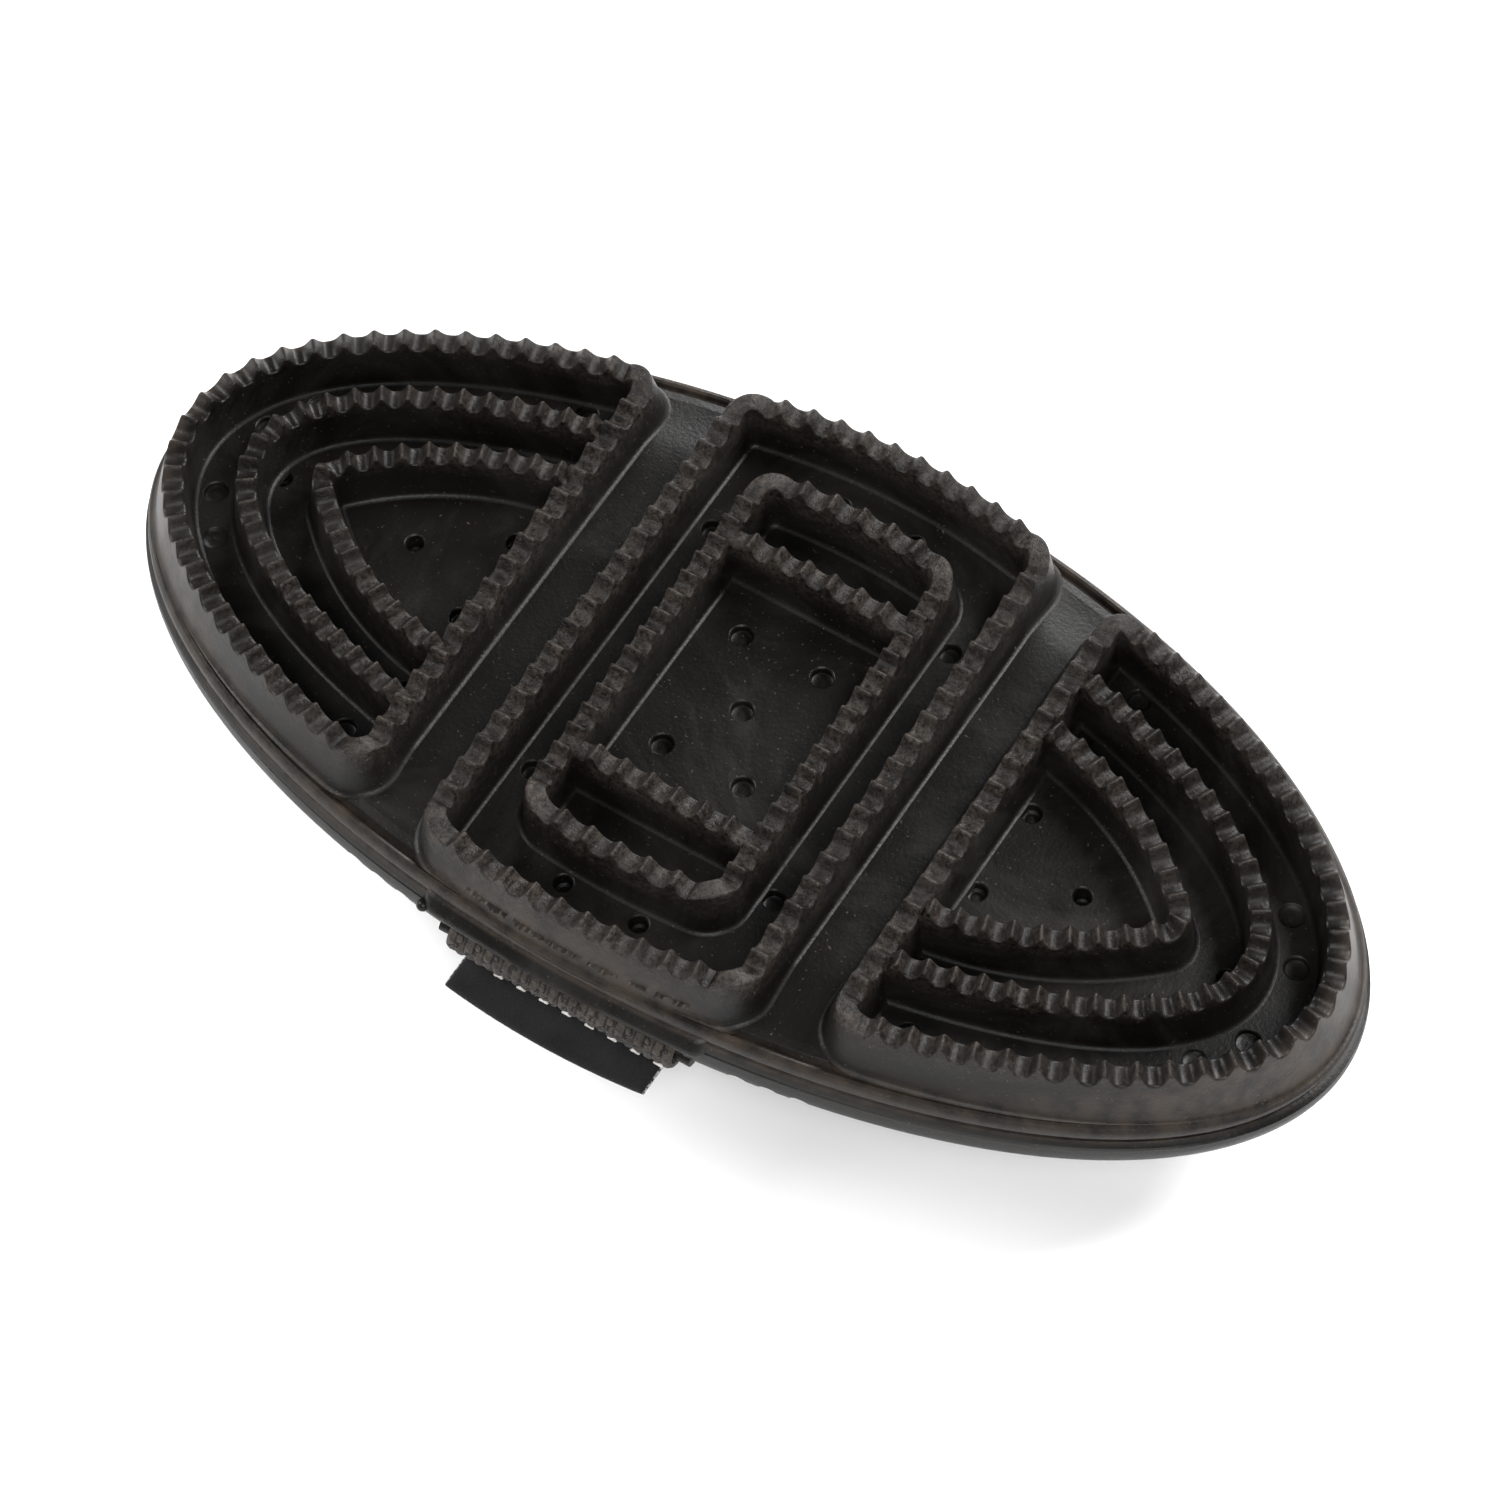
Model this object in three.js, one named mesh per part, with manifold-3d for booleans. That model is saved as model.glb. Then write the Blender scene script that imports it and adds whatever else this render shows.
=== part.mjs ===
// Oval rubber curry brush with a webbing hand strap, lying on its strap with the teeth up.
// Millimetres. +Z is up through the teeth, X runs along the oval and Y across it.
// Heights in the pad's own group are measured down from the crest plane of the teeth.
import * as THREE from 'three';
import { mergeVertices } from 'three/addons/utils/BufferGeometryUtils.js';
import Module from 'manifold-3d';

const wasm = await Module();
wasm.setup();

// Pad: an elliptical plate that droops towards both ends.
const HALF_LENGTH = 101.0;
const HALF_WIDTH = 49.3;
const BOW = 4.8e-4;
const BACK_BOW = 2.4e-4;
const DECK_Z = -7.2;
const FLOOR_Z = -9.0;
const BACK_Z = -19.8;
const RIM_SEGMENTS = 60;

// Ridges: a toothed crest on a tapered wall.
const TOOTH_HEIGHT = 2.0;
const TOOTH_BASE = 0.62;
const CREST_HALF = 1.45;
const FOOT_HALF = 2.3;
const OUTER_FOOT_HALF = 3.5;
const ROOT_Z = -10.4;

// Tooth pitch along the ridges.
const PITCH_LONG = 4.5;
const PITCH_INNER = 3.85;
const PITCH_SHORT = 4.5;

// Blocks of ridges.
const CENTRE_X = 26.1;
const CENTRE_Y = 45.0;
const CENTRE_SAG = 0.0045;
const INNER_X = 16.0;
const INNER_Y = 33.0;
const CROSS_Y = 21.0;
const CORNER = 4.0;
const END_X = 40.0;
const END_A = 95.7;
const END_B = 42.4;
const END_TOP = END_B * Math.sqrt(1 - (END_X / END_A) ** 2);
const MIDDLE_A = 84.3;
const MIDDLE_B = 31.0;
const ARCH_Y = 17.6;
const ARCH_APEX = 73.8;
const ARCH_BULGE = 3.1;

// Blind dimples in the pocket floors: x, y, radius.
const DIMPLE_DEPTH = 1.4;
const CENTRE_DIMPLES = [[0, 0, 1.7], [6.9, 10.8, 1.7], [20.5, 24.2, 1.6], [6.4, 37.6, 1.4]];
const END_DIMPLES = [[57.2, 0, 1.4], [44.2, 7.6, 1.5], [81, 0, 1.4], [43.9, 22.3, 1.6],
  [88.4, 6.9, 1.7], [83.7, 13.8, 1.7], [47.8, 32.2, 1.7]];

// Back of the pad: grip grooves, the channel for the strap, and at its ends a flange and a bar.
const GROOVE_RADIUS = 1.5;
const GROOVE_PITCH = 4.65;
const GROOVE_START = 28.5;
const GROOVES_PER_SIDE = 3;
const CHANNEL_HALF = 20.3;
const CHANNEL_Z = -14.6;
const FLANGE_HALF = 24.0;
const FLANGE_OUT = 50.3;
const FLANGE_IN = 44.0;
const BAR_HALF_LENGTH = 21.3;
const BAR_Y = 46.5;
const BAR_Z = -19.5;
const BAR_HALF_Y = 2.0;
const BAR_HALF_Z = 1.5;

// Strap: webbing, hook tape and loop tape.
const WEB_WIDTH = 38.0;
const WEB_THICK = 1.5;
const TAPE_WIDTH = 34.0;
const TAPE_THICK = 1.0;
const GAP = 0.3;
const FOLD_GAP = 0.4;
const FLAT_HALF = 14.0;
const ARCH_HALF = 42.0;
const ARCH_DROP = 20.6;
const TAIL_HALF = 44.0;
const TAB_Z = -24.0;
const TAB_TIP = -53.9;
const TAIL_END = -36.0;
const TAIL_START = BAR_Y - GAP;
const SEWN_FROM = -34.0;
const SEWN_TO = -22.0;
const LOOP_FROM = -20.0;
const LOOP_TO = 22.0;
const THREAD_WIDTH = 0.9;
const THREAD_HEIGHT = 0.45;
const END_SEAMS_Y = [-30.5, -25.5];
const LOOP_SEAM_X = 15.5;
const SEAM_RISE = WEB_THICK / 2 + GAP + THREAD_HEIGHT / 2;

const FOLD_Y = BAR_HALF_Y + FOLD_GAP + WEB_THICK / 2;
const FOLD_Z = BAR_HALF_Z + FOLD_GAP + WEB_THICK / 2;
const SLOT_Z = BAR_Z + FOLD_Z;
const RETURN_Z = BAR_Z - FOLD_Z;
const ARCH_Z = SLOT_Z - ARCH_DROP;
const LOOP_OFFSET = WEB_THICK / 2 + GAP + TAPE_THICK / 2;
const HOOK_OFFSET = LOOP_OFFSET + TAPE_THICK + GAP;
const TAIL_OFFSET = HOOK_OFFSET + TAPE_THICK / 2 + GAP + WEB_THICK / 2;
const BOTTOM_Z = ARCH_Z - TAIL_OFFSET - WEB_THICK / 2;

const rubber = new THREE.MeshStandardMaterial({ color: 0x17130f, roughness: 0.5, metalness: 0 });
const webbing = new THREE.MeshStandardMaterial({ color: 0x1a1613, roughness: 0.9, metalness: 0 });
const tape = new THREE.MeshStandardMaterial({ color: 0x0c0c0d, roughness: 0.75, metalness: 0 });
const thread = new THREE.MeshStandardMaterial({ color: 0x1d1917, roughness: 0.7, metalness: 0 });

// A solid of the manifold library from a closed three.js geometry.
function toSolid(geometry) {
  const bare = geometry.clone();
  bare.deleteAttribute('normal');
  bare.deleteAttribute('uv');
  const merged = mergeVertices(bare, 1e-4);
  const vertProperties = new Float32Array(merged.attributes.position.array);
  const triVerts = new Uint32Array(merged.index.array);
  return new wasm.Manifold(new wasm.Mesh({ numProp: 3, vertProperties, triVerts }));
}

function toGeometry(solid) {
  const mesh = solid.getMesh();
  const geometry = new THREE.BufferGeometry();
  geometry.setAttribute('position', new THREE.BufferAttribute(new Float32Array(mesh.vertProperties), 3));
  geometry.setIndex(new THREE.BufferAttribute(new Uint32Array(mesh.triVerts), 1));
  geometry.computeVertexNormals();
  return geometry;
}

// Joins rings of points, all of one length, into a skin. Closed runs meet themselves, open runs are capped.
function loft(rings, closed) {
  const count = rings[0].length;
  const points = rings.flat();
  const index = [];
  const steps = closed ? rings.length : rings.length - 1;
  for (let i = 0; i < steps; i += 1) {
    const here = i * count;
    const next = ((i + 1) % rings.length) * count;
    for (let j = 0; j < count; j += 1) {
      const k = (j + 1) % count;
      index.push(here + j, here + k, next + k, here + j, next + k, next + j);
    }
  }
  if (!closed) {
    const last = (rings.length - 1) * count;
    for (let j = 1; j < count - 1; j += 1) {
      index.push(0, j + 1, j, last, last + j, last + j + 1);
    }
  }
  const geometry = new THREE.BufferGeometry().setFromPoints(points);
  geometry.setIndex(index);
  return geometry;
}

// How far the back lies above the droop of the teeth at a distance x from the middle.
function backRise(x) {
  return (BOW - BACK_BOW) * x ** 2;
}

// The plate as rings from the middle of the back, round the rim, to the middle of the deck.
// Each step gives an inset from the outline, a height, and whether it lies on the back.
function plate() {
  const steps = [[36, 0, true], [20, 0, true], [8, 0, true], [2.2, 0, true], [0.9, 0.1, true], [0.2, 0.9, true],
    [0, 2.4, true], [0.4, -12.3], [0.7, -10.8], [1.8, -9.9], [3.7, -9.3], [8.5, -8.2], [14.5, DECK_Z],
    [26, DECK_Z], [40, DECK_Z]];
  const rings = steps.map(([inset, height, onBack]) => {
    const ring = [];
    for (let i = 0; i < RIM_SEGMENTS; i += 1) {
      const angle = (2 * Math.PI * i) / RIM_SEGMENTS;
      const x = (HALF_LENGTH - inset * HALF_LENGTH / HALF_WIDTH * 0.5 - inset * 0.5) * Math.cos(angle);
      const z = onBack ? BACK_Z + height + backRise(x) : height;
      ring.push(new THREE.Vector3(x, (HALF_WIDTH - inset) * Math.sin(angle), z));
    }
    return ring;
  });
  return toSolid(loft(rings, false));
}

// A ridge along stations on a path in plan, each with the height of the crest there.
// left and right are how far the wall's foot lies from the path on either side.
function ridge(stations, left, right, closed) {
  const rings = stations.map(({ point, normal, z }) => {
    const place = (across, height) => new THREE.Vector3(
      point.x + normal.x * across, point.y + normal.y * across, height);
    const slope = (foot) => (foot - CREST_HALF) / -FLOOR_Z;
    const half = (foot, height) => CREST_HALF - slope(foot) * height;
    return [place(half(left, z), z), place(-half(right, z), z),
      place(-half(right, ROOT_Z), ROOT_Z), place(half(left, ROOT_Z), ROOT_Z)];
  });
  return toSolid(loft(rings, closed));
}

// Stations along a curve: three to a tooth, at its two feet and its tip, with plain stretches between runs.
function toothed(curve, runs, plain, closed) {
  const length = curve.getLength();
  const marks = [];
  for (const { from, to, count } of runs) {
    const pitch = (to - from) / count;
    for (let i = 0; i < count; i += 1) {
      const middle = from + pitch * (i + 0.5);
      const half = (pitch * TOOTH_BASE) / 2;
      marks.push([middle - half, -TOOTH_HEIGHT], [middle, 0], [middle + half, -TOOTH_HEIGHT]);
    }
  }
  for (const at of plain) {
    marks.push([at, -TOOTH_HEIGHT * 0.35]);
  }
  marks.sort((a, b) => a[0] - b[0]);
  if (!closed) {
    marks.unshift([0, -TOOTH_HEIGHT]);
    marks.push([length, -TOOTH_HEIGHT]);
  }
  return marks.map(([at, z]) => {
    const u = Math.min(1, Math.max(0, at / length));
    const point = curve.getPointAt(u);
    const tangent = curve.getTangentAt(u);
    return { point, normal: new THREE.Vector2(-tangent.y, tangent.x), z };
  });
}

function line(x0, y0, x1, y1) {
  return new THREE.LineCurve(new THREE.Vector2(x0, y0), new THREE.Vector2(x1, y1));
}

// A rounded rectangle whose short sides bulge, as one counter-clockwise path with its stretches' lengths.
function frame(halfX, halfY, sag, corner) {
  const path = new THREE.CurvePath();
  const edgeY = halfY - sag * (halfX - corner) ** 2;
  const side = new THREE.QuadraticBezierCurve(
    new THREE.Vector2(halfX - corner, edgeY), new THREE.Vector2(0, 2 * halfY - edgeY),
    new THREE.Vector2(corner - halfX, edgeY));
  const turn = (x, y, start) => new THREE.EllipseCurve(
    x, y, corner, corner, start, start + Math.PI / 2, false, 0);
  const low = edgeY - corner;
  path.add(line(halfX, -low, halfX, low));
  path.add(turn(halfX - corner, low, 0));
  path.add(side);
  path.add(turn(corner - halfX, low, Math.PI / 2));
  path.add(line(-halfX, low, -halfX, -low));
  path.add(turn(corner - halfX, -low, Math.PI));
  path.add(new THREE.QuadraticBezierCurve(
    new THREE.Vector2(corner - halfX, -edgeY), new THREE.Vector2(0, edgeY - 2 * halfY),
    new THREE.Vector2(halfX - corner, -edgeY)));
  path.add(turn(halfX - corner, -low, 1.5 * Math.PI));
  return path;
}

// Teeth on the four sides of a frame, and plain rounded corners.
function frameRidge(path, pitchLong, pitchShort, inner, outer) {
  const ends = path.getCurveLengths();
  const runs = [];
  const plain = [];
  for (let i = 0; i < ends.length; i += 1) {
    const from = i === 0 ? 0 : ends[i - 1];
    const to = ends[i];
    if (i % 2 === 0) {
      const pitch = i % 4 === 0 ? pitchLong : pitchShort;
      const count = Math.round((to - from) / pitch);
      runs.push({ from, to, count });
    } else {
      plain.push(from + (to - from) * 0.2, (from + to) / 2, to - (to - from) * 0.2);
    }
  }
  return ridge(toothed(path, runs, plain, true), inner, outer, true);
}

// An ellipse centred on the pad, from one point on it at x = start round the tip to the other.
function endArc(a, b, start) {
  const angle = Math.acos(start / a);
  return new THREE.EllipseCurve(0, 0, a, b, -angle, angle, false, 0);
}

function arcRidge(curve, count, inner, outer, margin) {
  const length = curve.getLength();
  const runs = [{ from: margin, to: length - margin, count }];
  return ridge(toothed(curve, runs, [], false), inner, outer, false);
}

// The pointed innermost ridge: two bulging sides that meet on the axis.
function pointedArch() {
  const side = (sign) => {
    const ctrl = new THREE.Vector2((END_X + ARCH_APEX) / 2 + ARCH_BULGE, sign * (ARCH_Y / 2 + 2 * ARCH_BULGE));
    const foot = new THREE.Vector2(END_X, sign * ARCH_Y);
    const apex = new THREE.Vector2(ARCH_APEX, 0);
    return sign < 0 ? new THREE.QuadraticBezierCurve(foot, ctrl, apex)
      : new THREE.QuadraticBezierCurve(apex, ctrl, foot);
  };
  const path = new THREE.CurvePath();
  path.add(side(-1));
  path.add(side(1));
  return path;
}

// A prism from a plan outline, between two heights.
function prism(shape, z0, z1) {
  const geometry = new THREE.ExtrudeGeometry(shape, { depth: z1 - z0, bevelEnabled: false, curveSegments: 8 });
  geometry.translate(0, 0, z0);
  return toSolid(geometry);
}

function box(x0, x1, y0, y1, z0, z1) {
  const geometry = new THREE.BoxGeometry(x1 - x0, y1 - y0, z1 - z0);
  geometry.translate((x0 + x1) / 2, (y0 + y1) / 2, (z0 + z1) / 2);
  return toSolid(geometry);
}

// The end block's outline, also used for its pocket.
function endOutline() {
  const angle = Math.acos(END_X / END_A);
  const shape = new THREE.Shape();
  shape.moveTo(END_X, -END_TOP);
  shape.absellipse(0, 0, END_A, END_B, -angle, angle, false, 0);
  shape.lineTo(END_X, -END_TOP);
  return shape;
}

function endBlock() {
  const straight = line(END_X, END_TOP, END_X, -END_TOP);
  const runs = [{ from: CORNER, to: 2 * END_TOP - CORNER, count: 15 }];
  const plain = [CORNER / 2, 2 * END_TOP - CORNER / 2];
  return [
    ridge(toothed(straight, runs, plain, false), FOOT_HALF, OUTER_FOOT_HALF, false),
    arcRidge(endArc(END_A, END_B, END_X), 30, FOOT_HALF, OUTER_FOOT_HALF, CORNER),
    arcRidge(endArc(MIDDLE_A, MIDDLE_B, END_X), 27, FOOT_HALF, FOOT_HALF, 1),
    arcRidge(pointedArch(), 19, FOOT_HALF, FOOT_HALF, 0.5),
  ];
}

function centreBlock() {
  const cross = (y) => arcRidge(line(-INNER_X, y, INNER_X, y), 6, FOOT_HALF, FOOT_HALF, 2.5);
  const outer = frame(CENTRE_X, CENTRE_Y, CENTRE_SAG, CORNER);
  const inner = frame(INNER_X, INNER_Y, CENTRE_SAG, CORNER);
  return [
    frameRidge(outer, PITCH_LONG, PITCH_SHORT, FOOT_HALF, OUTER_FOOT_HALF),
    frameRidge(inner, PITCH_INNER, PITCH_SHORT, FOOT_HALF, FOOT_HALF),
    cross(CROSS_Y),
    cross(-CROSS_Y),
  ];
}

function dimples() {
  const holes = [];
  const drill = (x, y, radius) => {
    const geometry = new THREE.CylinderGeometry(radius, radius, 2 * DIMPLE_DEPTH, 8);
    geometry.rotateX(Math.PI / 2);
    geometry.translate(x, y, FLOOR_Z);
    holes.push(toSolid(geometry));
  };
  for (const [x, y, radius] of CENTRE_DIMPLES) {
    for (const sx of x ? [-1, 1] : [1]) {
      for (const sy of y ? [-1, 1] : [1]) {
        drill(sx * x, sy * y, radius);
      }
    }
  }
  for (const [x, y, radius] of END_DIMPLES) {
    for (const sx of [-1, 1]) {
      for (const sy of y ? [-1, 1] : [1]) {
        drill(sx * x, sy * y, radius);
      }
    }
  }
  return holes;
}

// Grip grooves across the back, outside the strap.
function grooves() {
  const list = [];
  for (let i = 0; i < GROOVES_PER_SIDE; i += 1) {
    const x = GROOVE_START + i * GROOVE_PITCH;
    for (const side of [-1, 1]) {
      const geometry = new THREE.CylinderGeometry(GROOVE_RADIUS, GROOVE_RADIUS, 2 * HALF_WIDTH + 4, 8);
      geometry.translate(side * x, 0, BACK_Z + 0.7 + backRise(x));
      list.push(toSolid(geometry));
    }
  }
  return list;
}

// The flange over one end of the strap's channel: a wedge that follows the rim and leans out downwards.
function flange(side) {
  const profile = [[FLANGE_IN, CHANNEL_Z - 0.6], [FLANGE_OUT - 0.4, CHANNEL_Z - 0.6],
    [FLANGE_OUT, CHANNEL_Z + 0.3], [FLANGE_OUT - 0.6, CHANNEL_Z + 1.3],
    [FLANGE_OUT - 1.8, -12.2], [FLANGE_IN, -11.4]];
  const rings = [-1, -0.97, -0.5, 0, 0.5, 0.97, 1].map((along) => {
    const draw = 1.2 * along ** 2 + (Math.abs(along) === 1 ? 0.8 : 0);
    const ring = profile.map(([y, z]) => new THREE.Vector3(
      along * FLANGE_HALF, side * (y > FLANGE_IN ? y - draw : y), z));
    return side > 0 ? ring : ring.reverse();
  });
  return toSolid(loft(rings, false));
}

// The bar that the strap wraps at one end of its channel.
function bar(side) {
  const geometry = new THREE.CylinderGeometry(1, 1, 2 * BAR_HALF_LENGTH, 12);
  geometry.rotateZ(Math.PI / 2);
  geometry.scale(1, BAR_HALF_Y, BAR_HALF_Z);
  geometry.translate(0, side * BAR_Y, BAR_Z);
  return toSolid(geometry);
}

// Adds the droop towards the ends.
function bow(geometry) {
  const position = geometry.attributes.position;
  for (let i = 0; i < position.count; i += 1) {
    position.setZ(i, position.getZ(i) - BOW * position.getX(i) ** 2);
  }
  geometry.computeVertexNormals();
  return geometry;
}

function mirrored(solids) {
  return solids.flatMap((solid) => [solid, solid.mirror([1, 0, 0])]);
}

function padGeometry() {
  const centrePocket = new THREE.Shape(frame(CENTRE_X, CENTRE_Y, CENTRE_SAG, CORNER).getPoints(6));
  const pockets = [prism(centrePocket, FLOOR_Z, 0), ...mirrored([prism(endOutline(), FLOOR_Z, 0)])];
  const channel = box(-CHANNEL_HALF, CHANNEL_HALF, -2 * HALF_WIDTH, 2 * HALF_WIDTH, 2 * BACK_Z, CHANNEL_Z);
  let pad = plate();
  for (const space of [...pockets, channel, ...grooves()]) {
    pad = pad.subtract(space);
  }
  const added = [...centreBlock(), ...mirrored(endBlock()), flange(1), flange(-1), bar(1), bar(-1)];
  for (const piece of added) {
    pad = pad.add(piece);
  }
  for (const hole of dimples()) {
    pad = pad.subtract(hole);
  }
  return bow(toGeometry(pad));
}

// Height of the strap's middle line over the arch, and of the tail and tape under it.
function ease(y, half) {
  const t = THREE.MathUtils.clamp((Math.abs(y) - FLAT_HALF) / (half - FLAT_HALF), 0, 1);
  return 0.5 + 0.5 * Math.cos(Math.PI * t);
}

function archHeight(y) {
  return SLOT_Z + (ARCH_Z - SLOT_Z) * ease(y, ARCH_HALF);
}

function hookHeight(y) {
  return TAB_Z + (ARCH_Z - HOOK_OFFSET - TAB_Z) * ease(y, TAIL_HALF);
}

function tailHeight(y) {
  return RETURN_Z + (ARCH_Z - TAIL_OFFSET - RETURN_Z) * ease(y, TAIL_HALF);
}

function sample(height, from, to, steps) {
  const points = [];
  for (let i = 0; i <= steps; i += 1) {
    const y = from + ((to - from) * i) / steps;
    points.push(new THREE.Vector2(y, height(y)));
  }
  return points;
}

// The half turn of webbing round a bar, from the slot down to the underside.
function foldPoints(side) {
  const points = [];
  for (let i = 1; i < 8; i += 1) {
    const angle = Math.PI / 2 - (Math.PI * i) / 8;
    points.push(new THREE.Vector2(
      side * (BAR_Y + FOLD_Y * Math.cos(angle)), BAR_Z + FOLD_Z * Math.sin(angle)));
  }
  return points;
}

function shifted(points, distance) {
  return points.map((point, i) => {
    const before = points[Math.max(0, i - 1)];
    const after = points[Math.min(points.length - 1, i + 1)];
    const along = after.clone().sub(before).normalize();
    return new THREE.Vector2(point.x - along.y * distance, point.y + along.x * distance);
  });
}

// A flat strip of given width and thickness along a path in the YZ plane, centred on x.
function strip(points, thickness, width, x = 0) {
  const upper = shifted(points, thickness / 2);
  const lower = shifted(points, -thickness / 2).reverse();
  const shape = new THREE.Shape([...upper, ...lower]);
  const geometry = new THREE.ExtrudeGeometry(shape, { depth: width, bevelEnabled: false });
  geometry.translate(0, 0, -width / 2);
  geometry.applyMatrix4(new THREE.Matrix4().set(0, 0, 1, x, 1, 0, 0, 0, 0, 1, 0, 0, 0, 0, 0, 1));
  return geometry;
}

// The tail follows the hook tape over its near half and the far fold over the rest.
function tailPath() {
  const near = shifted(sample(hookHeight, TAIL_END, 0, 16), HOOK_OFFSET - TAIL_OFFSET);
  return [...near, ...sample(tailHeight, 2, TAIL_START, 18)];
}

function strapPath() {
  const arch = sample(archHeight, -BAR_Y, BAR_Y, 40);
  const sewn = shifted(sample(archHeight, SEWN_FROM, SEWN_TO, 6), -(WEB_THICK + GAP));
  const back = [new THREE.Vector2(-BAR_Y, RETURN_Z), new THREE.Vector2(-41, RETURN_Z - 0.4), ...sewn];
  const nearFold = foldPoints(-1).reverse();
  const farFold = [...foldPoints(1), new THREE.Vector2(BAR_Y, RETURN_Z)];
  return [...back.reverse(), ...nearFold, ...arch, ...farFold];
}

// A row of stitches across the strap at y, raised on the given side of the layer at that offset.
function crossSeam(y, offset) {
  const points = shifted(sample(archHeight, y - THREAD_WIDTH / 2, y + THREAD_WIDTH / 2, 2), offset);
  return strip(points, THREAD_HEIGHT, WEB_WIDTH - 4);
}

function named(name, geometry, material) {
  const mesh = new THREE.Mesh(geometry, material);
  mesh.name = name;
  return mesh;
}

const brush = new THREE.Group();
brush.position.z = -BOTTOM_Z;

brush.add(named('rubber_pad', padGeometry(), rubber));
brush.add(named('strap_webbing', strip(strapPath(), WEB_THICK, WEB_WIDTH), webbing));
brush.add(named('strap_tail', strip(tailPath(), WEB_THICK, WEB_WIDTH), webbing));
const hookPath = sample(hookHeight, TAB_TIP, FLAT_HALF - 2, 28);
const loopPath = shifted(sample(archHeight, LOOP_FROM, LOOP_TO, 20), -LOOP_OFFSET);
brush.add(named('hook_tape', strip(hookPath, TAPE_THICK, TAPE_WIDTH), tape));
brush.add(named('loop_tape', strip(loopPath, TAPE_THICK, TAPE_WIDTH), tape));

END_SEAMS_Y.forEach((y, i) => {
  const outside = -(SEAM_RISE + WEB_THICK + GAP);
  brush.add(named(`sewn_end_seam_lower_${i + 1}`, crossSeam(y, outside), thread));
  brush.add(named(`sewn_end_seam_upper_${i + 1}`, crossSeam(y, SEAM_RISE), thread));
});
[-1, 1].forEach((side, i) => {
  const path = shifted(sample(archHeight, LOOP_FROM + 1, LOOP_TO - 1, 20), SEAM_RISE);
  const seam = strip(path, THREAD_HEIGHT, THREAD_WIDTH, side * LOOP_SEAM_X);
  brush.add(named(`loop_tape_seam_${i + 1}`, seam, thread));
});

export default brush;
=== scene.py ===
"""A rubber curry brush lying on its hand strap with the teeth up.

Lengths are millimetres and heights are measured from the crest plane of the teeth, as in the CAD model.
They become metres in the shared frame when a piece is made.
"""
import math

import bpy
import numpy as np
from mathutils import Matrix, Vector


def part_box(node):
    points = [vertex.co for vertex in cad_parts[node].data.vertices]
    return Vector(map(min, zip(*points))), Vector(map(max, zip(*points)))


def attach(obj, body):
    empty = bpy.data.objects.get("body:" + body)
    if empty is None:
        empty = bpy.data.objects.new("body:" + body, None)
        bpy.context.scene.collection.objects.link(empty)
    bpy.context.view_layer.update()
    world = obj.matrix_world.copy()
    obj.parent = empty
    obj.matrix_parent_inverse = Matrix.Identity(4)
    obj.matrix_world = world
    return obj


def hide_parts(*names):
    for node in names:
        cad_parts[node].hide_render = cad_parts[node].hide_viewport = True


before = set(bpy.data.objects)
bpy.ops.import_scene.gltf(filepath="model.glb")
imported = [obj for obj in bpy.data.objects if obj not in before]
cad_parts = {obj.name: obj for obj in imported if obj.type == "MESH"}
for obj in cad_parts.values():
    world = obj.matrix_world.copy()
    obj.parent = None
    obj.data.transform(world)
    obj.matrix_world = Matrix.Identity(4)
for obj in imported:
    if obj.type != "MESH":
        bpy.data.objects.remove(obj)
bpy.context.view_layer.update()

MM = 0.001
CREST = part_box("rubber_pad")[1][2] / MM

# The pad's plate, which droops towards both ends, its back less than its teeth. Its pockets are cut from
# above the crests.
HALF_LENGTH = 101.0
HALF_WIDTH = 49.3
BOW = 4.8e-4
BACK_BOW = 2.4e-4
DECK = -7.2
FLOOR = -9.0
BACK = -19.8
CUT_TOP = 2.0

# Ridges, by half their thickness at the crest and at the foot, and their teeth.
TOOTH = 2.0
CREST_HALF = 1.45
FOOT_HALF = 2.3
OUTER_FOOT = 3.4
CENTRE_FOOT = 2.8
WIDE_PITCH, FINE_PITCH = 4.5, 3.85
OUTER_TEETH, STRAIGHT_TEETH, MIDDLE_TEETH, ARCH_TEETH, CROSS_TEETH = 30, 15, 27, 19, 6
SHARP = math.radians(32)

# Blocks of ridges, in plan.
CENTRE_X, CENTRE_Y, SAG = 26.1, 45.0, 0.0045
INNER_X, INNER_Y = 16.0, 33.0
CROSS_Y = 21.0
CORNER = 4.0
END_X, END_A, END_B = 40.0, 95.7, 42.4
MIDDLE_A, MIDDLE_B = 84.3, 31.0
ARCH_Y, ARCH_APEX, ARCH_BULGE = 17.6, 73.8, 3.1

# Moulding flash on the near wall of the centre block: its height and its stretches along the pad.
FLASH_Z, FLASH_STEP = -7.3, 0.3
FLASH_STRETCHES = [(-17, -9.5), (-8.6, 3.4), (4.2, 9.2), (10.8, 13.6), (15.0, 20.2)]

# Blind dimples: x, y, radius, depth.
CENTRE_DIMPLES = [
    (0, 0, 1.7, 1.3), (6.9, 10.8, 1.7, 1.3), (20.5, 24.2, 1.6, 1.6), (6.4, 37.6, 1.4, 2.4),
]
END_DIMPLES = [
    (57.2, 0, 1.4, 3.2), (44.2, 7.6, 1.5, 1.6), (81.0, 0, 1.4, 2.6), (43.9, 22.3, 1.6, 1.2),
    (88.4, 6.9, 1.8, 0.9), (83.7, 13.8, 1.8, 0.5), (47.8, 32.2, 1.7, 1.0),
]

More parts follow.
